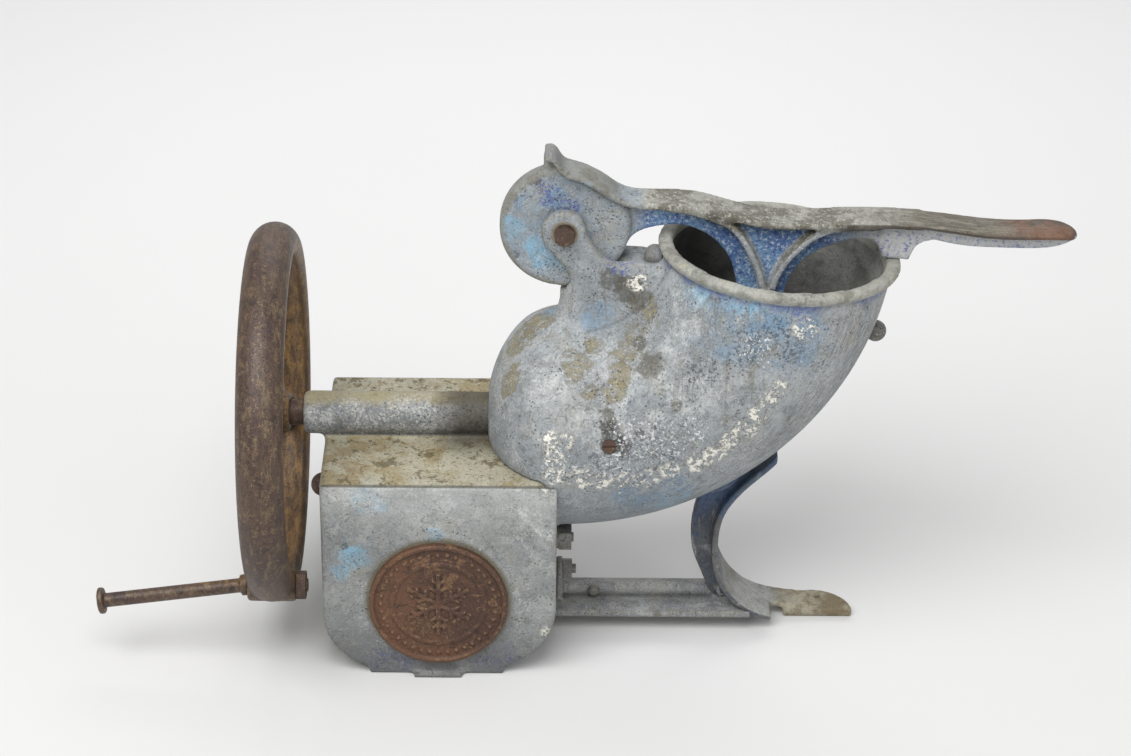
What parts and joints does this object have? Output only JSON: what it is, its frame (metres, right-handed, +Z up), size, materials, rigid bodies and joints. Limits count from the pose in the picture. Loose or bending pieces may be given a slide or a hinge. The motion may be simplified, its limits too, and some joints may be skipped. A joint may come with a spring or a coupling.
{
  "type": "ice shaver with crank",
  "caption": "Bench ice shaver: a curved hopper with a swinging pusher lever feeds ice to a knife disc turned by a cranked flywheel.",
  "frame": {"origin": "middle of the overall box in x and y, on the floor that the hood and the leg stand on", "axes": "+X along the shaft from the crank pin towards the lever's grip, +Y away from the badge side, +Z up"},
  "size_m": [0.9011, 0.3558, 0.4937],
  "materials": {
    "hopper_paint": "worn pale blue paint on grey casting",
    "hood_paint": "worn pale blue paint on grey casting",
    "lever_paint": "worn blue paint, brown where hands hold it",
    "leg_paint": "worn blue grey paint",
    "rail_paint": "worn blue grey paint",
    "wheel_rust": "dark brown rust",
    "badge_rust": "red brown rust",
    "fixing_rust": "brown rust",
    "fixing_grey": "dull grey",
    "shaft_steel": "oiled and dull",
    "bush_bronze": "dull bronze",
    "disc_iron": "rubbed grey iron",
    "knife_steel": "ground steel"
  },
  "bodies": {
    "frame": {"hopper_body": "hopper_paint", "discharge_hood": "hood_paint", "clamp_bolts": "fixing_grey", "clamp_nuts": "fixing_grey", "hood_side_bolt": "fixing_rust", "hood_side_nut": "fixing_rust", "badge": "badge_rust", "wall_bolts": "fixing_rust", "front_screw": "fixing_rust", "leg": "leg_paint", "tie_rail": "rail_paint", "rail_rivet": "fixing_grey", "rail_bolt": "fixing_grey", "rail_nut": "fixing_grey", "pivot_bolt": "fixing_rust", "pivot_nut": "fixing_rust", "shaft_bushes": "bush_bronze"},
    "lever": {"lever": "lever_paint", "pivot_bush": "bush_bronze", "pusher_plate": "disc_iron", "pusher_screws": "fixing_rust"},
    "rotor": {"drive_shaft": "shaft_steel", "flywheel": "wheel_rust", "wheel_key": "shaft_steel", "wheel_spacer": "fixing_rust", "thrust_collar": "shaft_steel", "crank_pin": "wheel_rust", "crank_nut": "fixing_rust", "knife_disc": "disc_iron", "knives": "knife_steel", "knife_screws": "fixing_grey", "disc_screw": "shaft_steel"}
  },
  "joints": [
    {"name": "crank_spin", "type": "hinge", "parent": "frame", "child": "rotor", "pos_m": [-0.28555, 0, 0.223], "axis": [1, 0, 0], "continuous": true},
    {"name": "lever_swing", "type": "hinge", "parent": "frame", "child": "lever", "pos_m": [-0.01575, 0, 0.4207], "axis": [0, -1, 0], "range_deg": [0, 150]}
  ]
}
